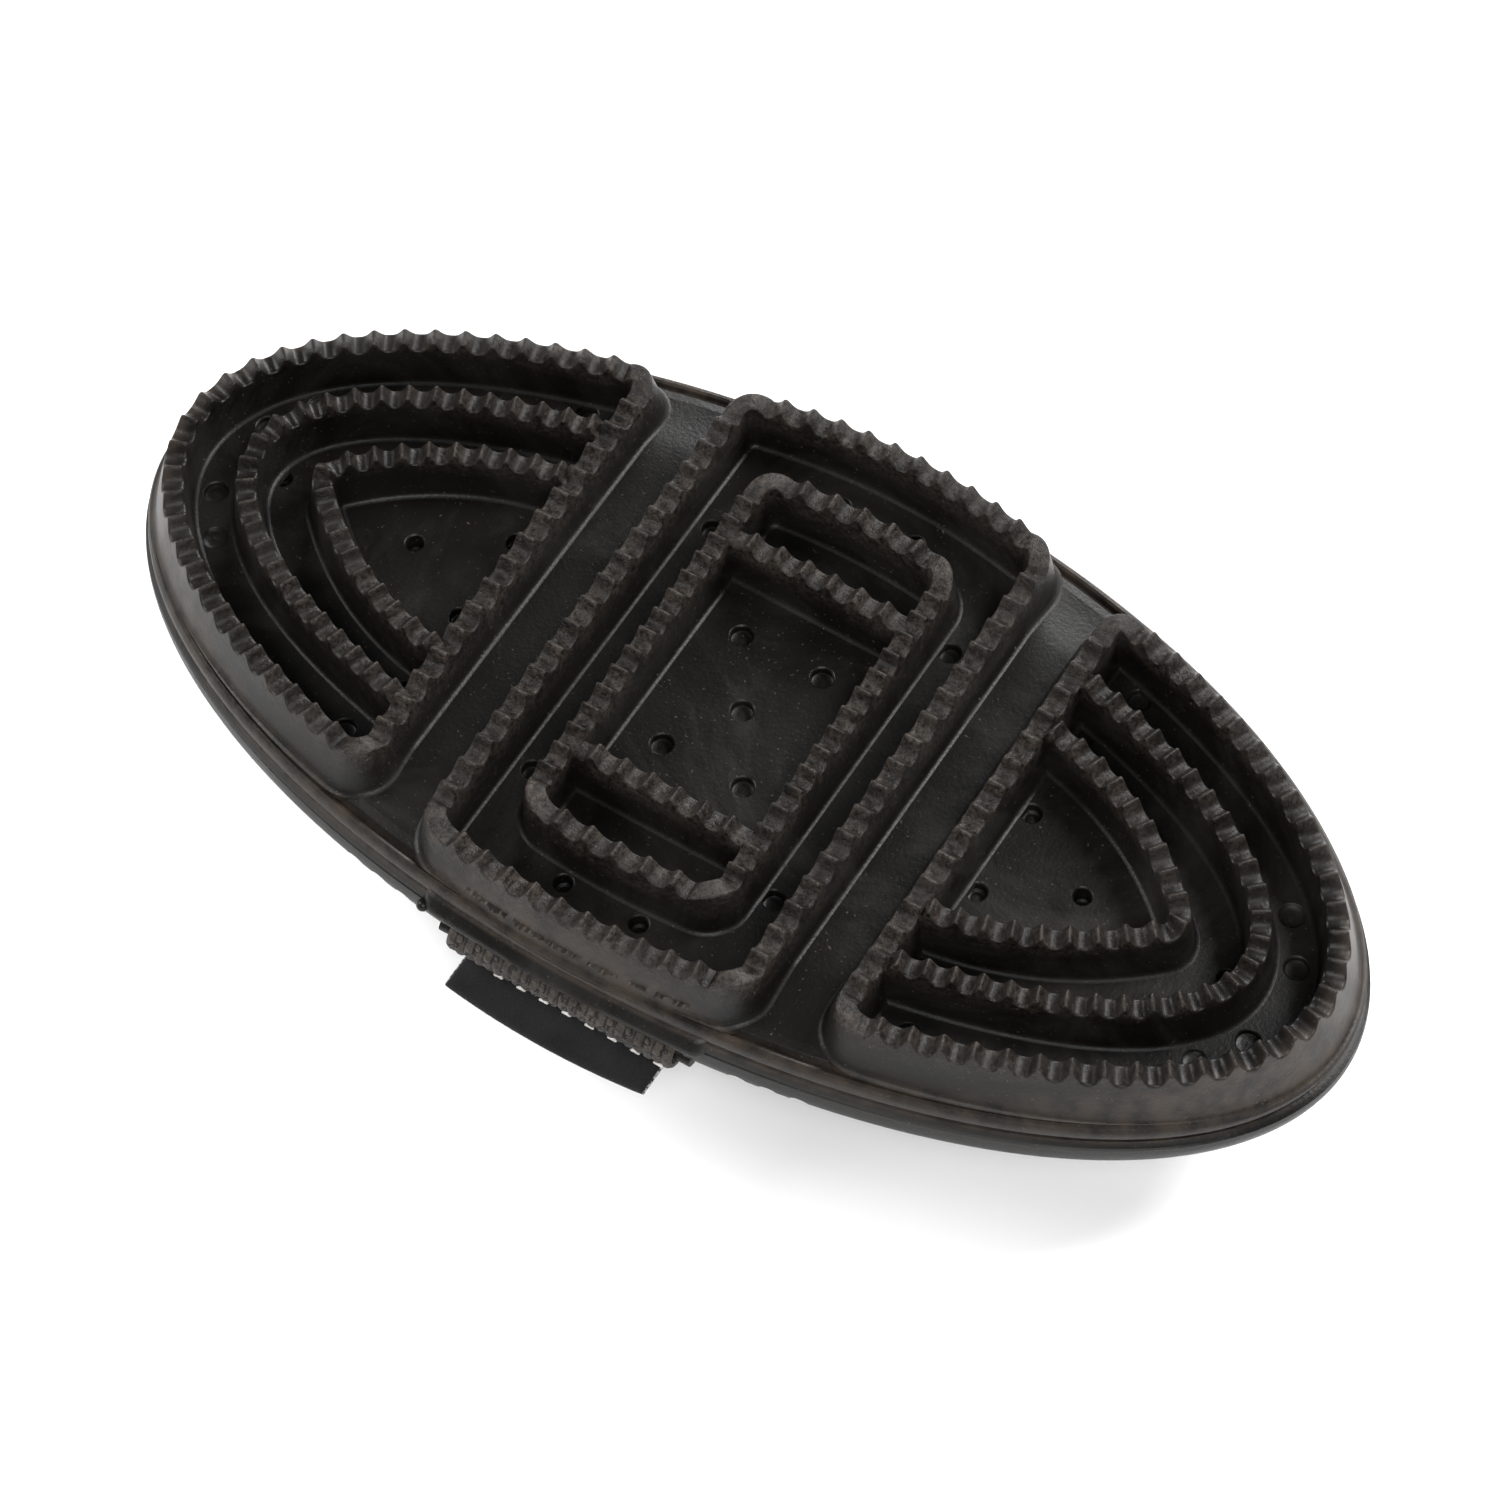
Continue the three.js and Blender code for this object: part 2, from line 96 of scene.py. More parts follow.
# Back: grip grooves, and the strap's channel with a flange and a bar at each end.
GROOVE_RADIUS, GROOVE_PITCH, GROOVE_START, GROOVES = 1.5, 4.65, 28.5, 3
CHANNEL_HALF, CHANNEL_Z = 20.3, -14.6
FLANGE_HALF, FLANGE_IN = 24.0, 44.0
BAR_LENGTH = 42.6
BAR_Y, BAR_Z, BAR_HALF_Y, BAR_HALF_Z = 46.5, -19.5, 2.0, 1.5

# Strap.
WEB_WIDTH, WEB_THICK = 38.0, 1.5
TAPE_WIDTH, TAPE_THICK = 34.0, 1.0
GAP, FOLD_GAP = 0.3, 0.4
FLAT_HALF, ARCH_HALF, ARCH_DROP = 14.0, 42.0, 20.6
TAIL_HALF, TAB_Z, TAB_TIP, TAIL_END = 44.0, -24.0, -53.9, -36.0
SEWN_FROM, SEWN_TO = -34.0, -22.0
FOLD_Y = BAR_HALF_Y + FOLD_GAP + WEB_THICK / 2
FOLD_Z = BAR_HALF_Z + FOLD_GAP + WEB_THICK / 2
SLOT_Z = BAR_Z + FOLD_Z
RETURN_Z = BAR_Z - FOLD_Z
ARCH_Z = SLOT_Z - ARCH_DROP
LOOP_OFFSET = WEB_THICK / 2 + GAP + TAPE_THICK / 2
HOOK_OFFSET = LOOP_OFFSET + TAPE_THICK + GAP
TAIL_OFFSET = HOOK_OFFSET + TAPE_THICK / 2 + GAP + WEB_THICK / 2
LOOP_FROM, LOOP_TO = -20, 22
HOOK_END = FLAT_HALF - 2
TAB_BULGE = 1.1
YARN, WEFT = 1.6, 1.4
WEB_RELIEF, HOOK_RELIEF, LOOP_RELIEF = 0.5, 0.04, 0.06
GRID_ALONG, GRID_ACROSS = 0.33, 0.42

# Seams: how far stitches lie from the middle of the webbing, their rows and their spacing.
SEAM_RISE = WEB_THICK / 2 + 0.25
END_SEAM_Y = (-30.5, -25.5)
LOOP_SEAM_X = (-15.5, 15.5)
TAB_SEAM_Y = -48.9
END_STITCHES = np.arange(-16.5, 16.6, 3.3)
LOOP_STITCHES = np.arange(-18, 20.1, 3.2)
TAB_STITCHES = np.arange(-11.0, 17.0, 3.9)

# Lights: name, place in metres, size and power.
LIGHTS = [
    ("front", (0.50, -0.72, 0.98), 0.9, 17),
    ("left", (-1.10, -0.30, 0.75), 0.7, 17),
    ("right", (0.62, 0.80, 1.00), 0.6, 27),
    ("back", (-0.35, 1.25, 0.60), 0.6, 18),
]
LIGHT_AIM = (0, 0, 0.03)
WORLD_STRENGTH = 0.05
FLOOR_HALF = 4.0

# Camera: aim, distance, direction and roll, with a long lens.
AIM = (7.5, -9.5, 0.0)
DISTANCE = 868.6
AZIMUTH, ELEVATION, ROLL = 33.9, 59.1, -2.0
LENS, SENSOR = 146.3, 36.0


# ---------------------------------------------------------------- mesh helpers

def bowed(points):
    """Adds the droop towards the ends."""
    out = np.array(points, float)
    out[:, 2] -= BOW * out[:, 0] ** 2
    return out


def make_object(name, points, faces, material, bow=True, sharp=SHARP, body="brush"):
    """An object in the shared frame from points in millimetres, their heights from the crest plane."""
    points = bowed(points) if bow else np.array(points, float)
    points[:, 2] += CREST
    mesh = bpy.data.meshes.new(name)
    mesh.from_pydata((points * MM).tolist(), [], [tuple(f) for f in faces])
    mesh.validate()
    mesh.shade_smooth()
    mesh.set_sharp_from_angle(angle=sharp)
    mesh.materials.append(material)
    obj = bpy.data.objects.new(name, mesh)
    bpy.context.scene.collection.objects.link(obj)
    if body:
        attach(obj, body)
    return obj


class Parts:
    """Points and faces of several closed lofts gathered into one mesh."""

    def __init__(self):
        self.points = []
        self.faces = []
        self.count = 0

    def loft(self, rings, closed=False):
        rings = np.asarray(rings, float)
        steps, around = rings.shape[:2]
        base = self.count
        self.points.append(rings.reshape(-1, 3))
        self.count += steps * around
        last = steps if closed else steps - 1
        for i in range(last):
            here = base + i * around
            then = base + ((i + 1) % steps) * around
            for j in range(around):
                k = (j + 1) % around
                self.faces.append((here + j, here + k, then + k, then + j))
        if not closed:
            self.faces.append(tuple(base + j for j in reversed(range(around))))
            end = base + (steps - 1) * around
            self.faces.append(tuple(end + j for j in range(around)))

    def mirror_x(self):
        """Adds the mirror image across x = 0."""
        points = np.concatenate(self.points)
        flipped = points * np.array([-1.0, 1.0, 1.0])
        shift = self.count
        self.points.append(flipped)
        self.faces += [tuple(shift + v for v in reversed(f)) for f in self.faces]
        self.count += len(points)

    def build(self, name, material, **options):
        return make_object(name, np.concatenate(self.points), self.faces, material, **options)


def cut(obj, cutter):
    """Takes the cutter out of obj and deletes the cutter."""
    modifier = obj.modifiers.new("cut", "BOOLEAN")
    modifier.operation = "DIFFERENCE"
    modifier.solver = "MANIFOLD"
    modifier.object = cutter
    bpy.context.view_layer.update()
    depsgraph = bpy.context.evaluated_depsgraph_get()
    mesh = bpy.data.meshes.new_from_object(obj.evaluated_get(depsgraph))
    obj.modifiers.clear()
    old = obj.data
    obj.data = mesh
    bpy.data.meshes.remove(old)
    bpy.data.objects.remove(cutter)


# ---------------------------------------------------------------- plan curves

class Path:
    """A plan curve from a dense polyline, read by distance along it."""

    def __init__(self, points, closed=False):
        points = np.asarray(points, float)
        if closed:
            points = np.vstack([points, points[:1]])
        keep = np.r_[True, np.linalg.norm(np.diff(points, axis=0), axis=1) > 1e-6]
        self.points = points[keep]
        self.closed = closed
        steps = np.linalg.norm(np.diff(self.points, axis=0), axis=1)
        self.at = np.r_[0, np.cumsum(steps)]
        self.length = self.at[-1]

    def place(self, s):
        return np.array([np.interp(s, self.at, self.points[:, i]) for i in (0, 1)])

    def normal(self, s, reach=0.35):
        if self.closed:
            a, b = self.place((s - reach) % self.length), self.place((s + reach) % self.length)
        else:
            a, b = self.place(max(0, s - reach)), self.place(min(self.length, s + reach))
        along = (b - a) / np.linalg.norm(b - a)
        return np.array([-along[1], along[0]])


def segment(a, b, n=60):
    t = np.linspace(0, 1, n)[:, None]
    return np.array(a) * (1 - t) + np.array(b) * t


def quadratic(a, b, c, n=80):
    t = np.linspace(0, 1, n)[:, None]
    return np.array(a) * (1 - t) ** 2 + 2 * np.array(b) * t * (1 - t) + np.array(c) * t ** 2


def arc(cx, cy, r, start, turn=math.pi / 2, n=24):
    t = start + np.linspace(0, turn, n)
    return np.stack([cx + r * np.cos(t), cy + r * np.sin(t)], 1)


def frame_path(half_x, half_y):
    """A rounded rectangle whose short sides bulge, and the lengths where its stretches end."""
    edge = half_y - SAG * (half_x - CORNER) ** 2
    low, inner = edge - CORNER, half_x - CORNER
    pieces = [
        segment((half_x, -low), (half_x, low)),
        arc(inner, low, CORNER, 0),
        quadratic((inner, edge), (0, 2 * half_y - edge), (-inner, edge)),
        arc(-inner, low, CORNER, math.pi / 2),
        segment((-half_x, low), (-half_x, -low)),
        arc(-inner, -low, CORNER, math.pi),
        quadratic((-inner, -edge), (0, edge - 2 * half_y), (inner, -edge)),
        arc(inner, -low, CORNER, 1.5 * math.pi),
    ]
    ends = np.cumsum([np.linalg.norm(np.diff(p, axis=0), axis=1).sum() for p in pieces])
    return Path(np.vstack(pieces), closed=True), ends


def ellipse_arc(a, b, start_x, n=400):
    angle = math.acos(start_x / a)
    t = np.linspace(-angle, angle, n)
    return np.stack([a * np.cos(t), b * np.sin(t)], 1)


def end_path():
    """The end block's outline: a straight side and an elliptical arc, with rounded corners between."""
    curve = ellipse_arc(END_A, END_B, END_X)
    run = np.r_[0, np.cumsum(np.linalg.norm(np.diff(curve, axis=0), axis=1))]
    kept = curve[(run > CORNER) & (run < run[-1] - CORNER)]
    top = curve[-1][1]
    straight = segment((END_X, top - CORNER), (END_X, CORNER - top))
    turn_up = quadratic(kept[-1], (END_X, top), straight[0], 24)
    turn_down = quadratic(straight[-1], (END_X, -top), kept[0], 24)
    pieces = [kept, turn_up, straight, turn_down]
    ends = np.cumsum([np.linalg.norm(np.diff(p, axis=0), axis=1).sum() for p in pieces])
    return Path(np.vstack(pieces), closed=True), ends


def arch_path(rounding=3.2):
    """The innermost ridge: two bulging sides with a tight turn where they meet."""
    middle = ((END_X + ARCH_APEX) / 2 + ARCH_BULGE, ARCH_Y / 2 + 2 * ARCH_BULGE)
    upper = quadratic((ARCH_APEX, 0), middle, (END_X, ARCH_Y), 300)
    run = np.r_[0, np.cumsum(np.linalg.norm(np.diff(upper, axis=0), axis=1))]
    upper = upper[run > rounding]
    lower = upper[::-1] * np.array([1, -1])
    return Path(np.vstack([lower, quadratic(lower[-1], (ARCH_APEX, 0), upper[0], 30), upper]))


# ---------------------------------------------------------------- the rubber pad

# The plate's section as inset from the outline, height, and how much of the back's rise towards the ends it
# shares. The rim runs from the middle of the back up the side, over the parting line and the bead, into the
# groove round the foot of the blocks. The deck runs on from there to the middle.
RIM_SECTION = [
    (46, BACK, 1), (38, BACK, 1), (28, BACK, 1), (20, BACK, 1), (12, BACK, 1), (6, BACK, 1),
    (3.0, BACK, 1), (1.9, -19.74, 1), (1.15, -19.5, 1), (0.6, -19.05, 1), (0.25, -18.5, 1),
    (0.08, -17.7, 1), (0.0, -16.9, 1), (0.0, -15.9, 0.8), (0.06, -14.7, 0.6), (0.5, -14.4, 0.6),
    (0.1, -14.1, 0.6), (0.26, -13.4, 0.35), (0.7, -12.6, 0.15), (1.35, -12.3, 0), (1.1, -11.95, 0),
    (0.6, -11.4, 0), (0.5, -10.7, 0), (0.7, -9.9, 0), (1.1, -9.4, 0), (1.55, -9.3, 0),
    (1.95, -9.5, 0), (2.2, -10.05, 0), (2.5, -10.1, 0),
]
DECK_SECTION = [
    (2.75, -9.5, 0), (3.2, -9.1, 0), (4.5, -8.8, 0), (6.5, -8.6, 0), (9.5, -8.1, 0), (12.0, -7.6, 0),
    (14.5, DECK, 0), (19.0, DECK, 0), (25.0, DECK, 0), (32.0, DECK, 0), (39.0, DECK, 0),
    (45.0, DECK, 0), (48.4, DECK, 0),
]


def inset_half_x(inset):
    return HALF_LENGTH - inset * (HALF_LENGTH / HALF_WIDTH + 1) / 2


def back_rise(x):
    """How far the back lies above the droop of the teeth."""
    return (BOW - BACK_BOW) * np.square(x)


def deck_height(x, y):
    """Height of the plate's upper surface at a point in plan, its inset found by halving."""
    low, high = 0.0, 46.0
    for _ in range(22):
        mid = (low + high) / 2
        inside = (x / inset_half_x(mid)) ** 2 + (y / (HALF_WIDTH - mid)) ** 2 < 1
        low, high = (mid, high) if inside else (low, mid)
    steps = np.array(DECK_SECTION)
    return float(np.interp(low, steps[:, 0], steps[:, 1]))


def strip_cutter(xs, half, floor, top):
    """A cutter with a floor in flat strips across the pad, so that it follows the droop cleanly."""
    return [[(x, -half(x), floor), (x, half(x), floor), (x, half(x), top), (x, -half(x), top)] for x in xs]


def centre_pocket_half(x):
    return CENTRE_Y - SAG * x * x - max(0.0, abs(x) - CENTRE_X + CORNER) * 0.6


def end_pocket_half(x):
    return END_B * math.sqrt(max(0.0, 1 - (x / END_A) ** 2))


def dimple_cutter(x, y, radius, depth, around=28):
    """A blind round recess with a broken edge and a rounded floor."""
    profile = [(0.15, -depth), (radius * 0.6, -depth - 0.12), (radius * 0.93, -depth + 0.1),
               (radius, -depth * 0.6), (radius, -0.2), (radius + 0.14, -0.06), (radius + 0.3, 0.05),
               (radius + 0.3, 1.0), (0.15, 1.0)]
    turn = np.linspace(0, 2 * np.pi, around, endpoint=False)
    return [np.column_stack([x + r * np.cos(turn), y + r * np.sin(turn), np.full(around, FLOOR + z)])
            for r, z in profile]


def dimple_places():
    for x, y, radius, depth in CENTRE_DIMPLES + END_DIMPLES:
        for sx in ((-1, 1) if x else (1,)):
            for sy in ((-1, 1) if y else (1,)):
                yield sx * x, sy * y, radius, depth


def groove_cutter(x, around=20):
    """A round groove across the whole back, its mouth flared."""
    turn = np.linspace(0, 2 * np.pi, around, endpoint=False)
    centre = BACK + 0.7 + back_rise(x)
    ys = np.linspace(-HALF_WIDTH - 2, HALF_WIDTH + 2, 25)
    return [[(x + GROOVE_RADIUS * math.cos(t) * (1 + 0.25 * max(0, -math.sin(t))), y,
              centre + GROOVE_RADIUS * math.sin(t)) for t in turn] for y in ys][::-1]


def plate_rings():
    turn = np.linspace(0, 2 * np.pi, 360, endpoint=False)
    rings = []
    for inset, z, share in RIM_SECTION + DECK_SECTION:
        x = inset_half_x(inset) * np.cos(turn)
        rings.append(np.column_stack([x, (HALF_WIDTH - inset) * np.sin(turn), z + share * back_rise(x)]))
    return rings


def cut_pockets(obj, material):
    """Takes out the pockets between the ridges and the strap's channel across the back."""
    cutters = Parts()
    cutters.loft(strip_cutter(np.arange(-26, 26.1, 1.0), centre_pocket_half, FLOOR, CUT_TOP))
    xs = np.r_[np.arange(END_X, 92, 1.0), 93, 94, 94.8, 95.3, 95.6]
    cutters.loft(strip_cutter(xs, end_pocket_half, FLOOR, CUT_TOP))
    cutters.loft(strip_cutter(-xs[::-1], end_pocket_half, FLOOR, CUT_TOP))
    across = np.linspace(-CHANNEL_HALF, CHANNEL_HALF, 21)
    cutters.loft(strip_cutter(across, lambda x: HALF_WIDTH + 3, BACK - 4, CHANNEL_Z))
    cut(obj, cutters.build("cutters", material, body=None))


def cut_holes(obj, material):
    """Takes out the dimples and the grip grooves."""
    holes = Parts()
    for place in dimple_places():
        holes.loft(dimple_cutter(*place))
    for i in range(GROOVES):
        for side in (-1, 1):
            holes.loft(groove_cutter(side * (GROOVE_START + i * GROOVE_PITCH)))
    cut(obj, holes.build("holes", material, body=None))


def make_plate(material):
    plate = Parts()
    plate.loft(plate_rings())
    obj = plate.build("pad_plate", material)
    cut_pockets(obj, material)
    cut_holes(obj, material)
    obj.data.shade_smooth()
    obj.data.set_sharp_from_angle(angle=SHARP)
    # The pocket floors are flat strips, and smooth shading would band them.
    for face in obj.data.polygons:
        x, _, z = face.center / MM
        face.use_smooth = abs(z - CREST + BOW * x * x - FLOOR) > 0.1
    return obj


def tooth_stations(start, end, count):
    """Distances and crest heights over a run of teeth: narrow tips, hollow flanks and rounded valleys."""
    shape = [(0.5, -1.0), (0.4, -0.985), (0.31, -0.9), (0.235, -0.72), (0.16, -0.46), (0.1, -0.22),
             (0.06, -0.07), (0.025, -0.01)]
    profile = [(-s, z) for s, z in shape[1:]] + [(s, z) for s, z in reversed(shape)]
    pitch = (end - start) / count
    for i in range(count):
        middle = start + pitch * (i + 0.5)
        for s, z in profile:
            yield middle + s * pitch, z * TOOTH


def plain_stations(start, end, rise=0.75):
    """A smooth saddle without teeth, as at the corners of a ridge."""
    for t in np.linspace(0.06, 0.94, 13):
        yield start + t * (end - start), -TOOTH * (1 - rise * math.sin(math.pi * t) ** 0.8)


def wall_slope(foot):
    """How much a ridge's half thickness grows per millimetre down to the floor."""
    return (foot - CREST_HALF) / -FLOOR


def ridge_section(top, left, right, left_base, right_base):
    """Across a ridge: filleted foot, tapered wall, rounded crest, and the same down the other side."""
    def side(foot, base):
        def half(z):
            return CREST_HALF - wall_slope(foot) * z

        middle = (base + top) / 2
        return [(half(base) + 1.1, base - 0.5), (half(base) + 0.8, base - 0.02),
                (half(base) + 0.4, base + 0.1), (half(base) + 0.12, base + 0.36),
                (half(base + 0.8), base + 0.8), (half(middle), middle), (half(top), top - 0.5),
                (half(top) - 0.07, top - 0.22), (half(top) - 0.24, top - 0.06), (half(top) - 0.5, top)]

    left_side = side(left, left_base)
    right_side = [(-u, z) for u, z in side(right, right_base)]
    return left_side + [(0.0, top)] + right_side[::-1]


def loft_ridge(parts, path, stations, left, right, outside=None):
    """Sweeps the section along a path. Outside is the side, left or right, that meets the deck."""
    rings = []
    for s, top in stations:
        point = path.place(s)
        normal = path.normal(s)
        bases = {"left": FLOOR, "right": FLOOR}
        if outside:
            foot = left if outside == "left" else right
            side = 1 if outside == "left" else -1
            spot = point + normal * side * (foot + 0.2)
            bases[outside] = deck_height(abs(spot[0]), abs(spot[1]))
        section = ridge_section(top, left, right, bases["left"], bases["right"])
        rings.append([(point[0] + normal[0] * u, point[1] + normal[1] * u, z) for u, z in section])
    parts.loft(rings, closed=path.closed)


def frame_ridge(parts, half_x, half_y, pitch_long, pitch_short, outer):
    path, ends = frame_path(half_x, half_y)
    stations = []
    start = 0.0
    for i, end in enumerate(ends):
        if i % 2 == 0:
            pitch = pitch_long if i % 4 == 0 else pitch_short
            stations += tooth_stations(start, end, round((end - start) / pitch))
        else:
            stations += plain_stations(start, end)
        start = end
    loft_ridge(parts, path, stations, FOOT_HALF, outer, "right" if outer != FOOT_HALF else None)


def open_ridge(parts, path, count, margin):
    stations = [(0.0, -TOOTH)]
    stations += tooth_stations(margin, path.length - margin, count)
    stations.append((path.length, -TOOTH))
    loft_ridge(parts, path, stations, FOOT_HALF, FOOT_HALF)


def make_centre_ridges(material):
    parts = Parts()
    frame_ridge(parts, CENTRE_X, CENTRE_Y, WIDE_PITCH, WIDE_PITCH, CENTRE_FOOT)
    frame_ridge(parts, INNER_X, INNER_Y, FINE_PITCH, WIDE_PITCH, FOOT_HALF)
    for y in (CROSS_Y, -CROSS_Y):
        open_ridge(parts, Path(segment((-INNER_X, y), (INNER_X, y))), CROSS_TEETH, 2.5)
    return parts.build("pad_centre_ridges", material)


def make_end_ridges(material):
    parts = Parts()
    path, ends = end_path()
    stations = list(tooth_stations(0, ends[0], OUTER_TEETH))
    stations += plain_stations(ends[0], ends[1])
    stations += tooth_stations(ends[1], ends[2], STRAIGHT_TEETH)
    stations += plain_stations(ends[2], ends[3])
    loft_ridge(parts, path, stations, FOOT_HALF, OUTER_FOOT, "right")
    open_ridge(parts, Path(ellipse_arc(MIDDLE_A, MIDDLE_B, END_X)), MIDDLE_TEETH, 1.0)
    open_ridge(parts, arch_path(), ARCH_TEETH, 0.5)
    parts.mirror_x()
    return parts.build("pad_end_ridges", material)


def flange_rings(side):
    """One flange, drawn in towards its rounded ends."""
    profile = [(FLANGE_IN, CHANNEL_Z - 0.6), (47.5, CHANNEL_Z - 0.65), (49.3, CHANNEL_Z - 0.6),
               (49.95, CHANNEL_Z - 0.4), (50.25, CHANNEL_Z), (50.28, CHANNEL_Z + 0.5),
               (50.0, CHANNEL_Z + 1.0), (49.55, -13.2), (49.1, -12.7), (48.7, -12.35), (47.6, -12.0),
               (FLANGE_IN, -11.6)]
    rounded = 0.92
    stations = [-1, -0.993, -0.98, -0.955, -rounded] + list(np.linspace(-0.85, 0.85, 35))
    stations += [rounded, 0.955, 0.98, 0.993, 1]
    rings = []
    for along in stations:
        end = max(0.0, (abs(along) - rounded) / 0.08)
        draw = 1.2 * along ** 2 + 2.4 * (1 - math.sqrt(max(0.0, 1 - end ** 2)))
        rings.append([(along * FLANGE_HALF, side * (FLANGE_IN + (y - FLANGE_IN) * (1 - draw / 6.3)), z)
                      for y, z in profile])
    return rings if side > 0 else rings[::-1]


def nub_rings(side):
    """A small round nub at one end of a flange."""
    centre_x, centre_y, centre_z = -FLANGE_HALF + 0.4, side * 48.6, CHANNEL_Z + 0.1
    turn = np.linspace(0, 2 * np.pi, 16, endpoint=False)
    rings = []
    for angle in np.linspace(-1.45, 1.45, 9):
        r, height = math.cos(angle), 0.95 * math.sin(angle)
        rings.append([(centre_x + r * math.cos(t), centre_y + r * math.sin(t), centre_z + height)
                      for t in turn])
    return rings


def make_flanges(material):
    """The swelling of the rim over each end of the strap's channel."""
    parts = Parts()
    for side in (-1, 1):
        parts.loft(flange_rings(side))
        parts.loft(nub_rings(side))
    return parts.build("pad_flanges", material)


def make_flash(material):
    """A ragged, broken line of moulding flash low on the near wall of the centre block."""
    rough = np.random.default_rng(5)
    wall = CREST_HALF - wall_slope(CENTRE_FOOT) * FLASH_Z
    parts = Parts()
    for start, end in FLASH_STRETCHES:
        rings = []
        for x in np.arange(start, end, FLASH_STEP):
            y = -(CENTRE_Y - SAG * x * x + wall)
            half, rise = 0.12 + 0.25 * rough.random(), 0.2 + 0.6 * rough.random()
            z = FLASH_Z + 0.25 * rough.random()
            rings.append([(x, y + 0.4, z - half), (x, y + 0.4, z + half), (x, y - rise, z)])
        parts.loft(rings)
    return parts.build("pad_flash", material)


def make_bars(material):
    turn = np.linspace(0, 2 * np.pi, 28, endpoint=False)
    parts = Parts()
    for side in (-1, 1):
        section = [(side * BAR_Y + BAR_HALF_Y * math.cos(t), BAR_Z + BAR_HALF_Z * math.sin(t)) for t in turn]
        parts.loft([[(x, y, z) for y, z in section]
                    for x in np.linspace(-BAR_LENGTH / 2, BAR_LENGTH / 2, 15)])
    return parts.build("pad_bars", material)


# ---------------------------------------------------------------- the strap

def ease(y, half):
    t = min(1.0, max(0.0, (abs(y) - FLAT_HALF) / (half - FLAT_HALF)))
    return 0.5 + 0.5 * math.cos(math.pi * t)


def arch_height(y):
    return SLOT_Z + (ARCH_Z - SLOT_Z) * ease(y, ARCH_HALF)


def hook_height(y):
    return TAB_Z + (ARCH_Z - HOOK_OFFSET - TAB_Z) * ease(y, TAIL_HALF)


def tail_height(y):
    return RETURN_Z + (ARCH_Z - TAIL_OFFSET - RETURN_Z) * ease(y, TAIL_HALF)


def sample(height, start, end, steps):
    return np.array([(y, height(y)) for y in np.linspace(start, end, steps + 1)])


def shifted(points, distance):
    """A path moved sideways, to its left for a positive distance."""
    along = np.gradient(points, axis=0)
    along /= np.linalg.norm(along, axis=1)[:, None]
    return points + np.column_stack([-along[:, 1], along[:, 0]]) * distance


def fold(side):
    t = math.pi / 2 - np.linspace(0, math.pi, 24)[1:-1]
    return np.column_stack([side * (BAR_Y + FOLD_Y * np.cos(t)), BAR_Z + FOLD_Z * np.sin(t)])


def strap_path():
    arch = sample(arch_height, -BAR_Y, BAR_Y, 160)
    sewn = shifted(sample(arch_height, SEWN_FROM, SEWN_TO, 24), -(WEB_THICK + GAP))
    back = np.vstack([[(-BAR_Y, RETURN_Z), (-41, RETURN_Z - 0.4)], sewn])
    far = np.vstack([fold(1), [(BAR_Y, RETURN_Z)]])
    return np.vstack([back[::-1], fold(-1)[::-1], arch, far])


def tail_path():
    near = shifted(sample(hook_height, TAIL_END, 0, 60), HOOK_OFFSET - TAIL_OFFSET)
    return np.vstack([near, sample(tail_height, 0.5, BAR_Y - GAP, 80)])


def even(points, step):
    """A path with points at even distances."""
    run = np.r_[0, np.cumsum(np.linalg.norm(np.diff(points, axis=0), axis=1))]
    s = np.linspace(0, run[-1], max(2, round(run[-1] / step)))
    return np.column_stack([np.interp(s, run, points[:, i]) for i in (0, 1)]), s


def woven(s, x):
    """Height of a coarse weave of slanted yarn, from 0 in the gaps to 1 on top of a yarn."""
    place = x / YARN
    yarn = np.floor(place)
    across = np.abs(np.cos(np.pi * (place - yarn - 0.5))) ** 0.6
    over = 0.5 + 0.5 * np.cos(2 * np.pi * (s / WEFT + 0.5 * yarn + 0.45 * (place - yarn)))
    return across * (0.3 + 0.7 * over ** 0.7)


def strip(name, path, width, thick, material, body, relief=0.0, bulge=0.0):
    """A closed band along a path in the YZ plane, its weave raised on both faces, its start pushed out."""
    line, s = even(np.asarray(path, float), GRID_ALONG)
    across = np.linspace(-width / 2, width / 2, round(width / GRID_ACROSS) + 1)
    edge = np.clip((width / 2 - np.abs(across)) / 0.8, 0, 1) ** 0.5
    half = thick / 2 * (0.45 + 0.55 * edge)
    out = bulge * (1 - (2 * across / width) ** 2)
    normal = shifted(line, 1.0) - line
    rings = []
    for i, (y, z) in enumerate(line):
        push = out * max(0.0, 1 - s[i] / 8)
        taper = min(1.0, 0.35 + min(s[i], s[-1] - s[i]) / 0.6)
        faces = []
        for sign, shift in ((1, 0.0), (-1, 0.7)):
            weave = woven(s[i] + shift, across + 30 * YARN + shift)
            height = (half - relief * (1 - weave) * edge) * taper * sign
            faces.append(np.column_stack([across, y - push + normal[i][0] * height,
                                          z + normal[i][1] * height]))
        rings.append(np.vstack([faces[0], faces[1][::-1]]))
    parts = Parts()
    parts.loft(rings)
    return parts.build(name, material, bow=False, sharp=math.radians(70), body=body)


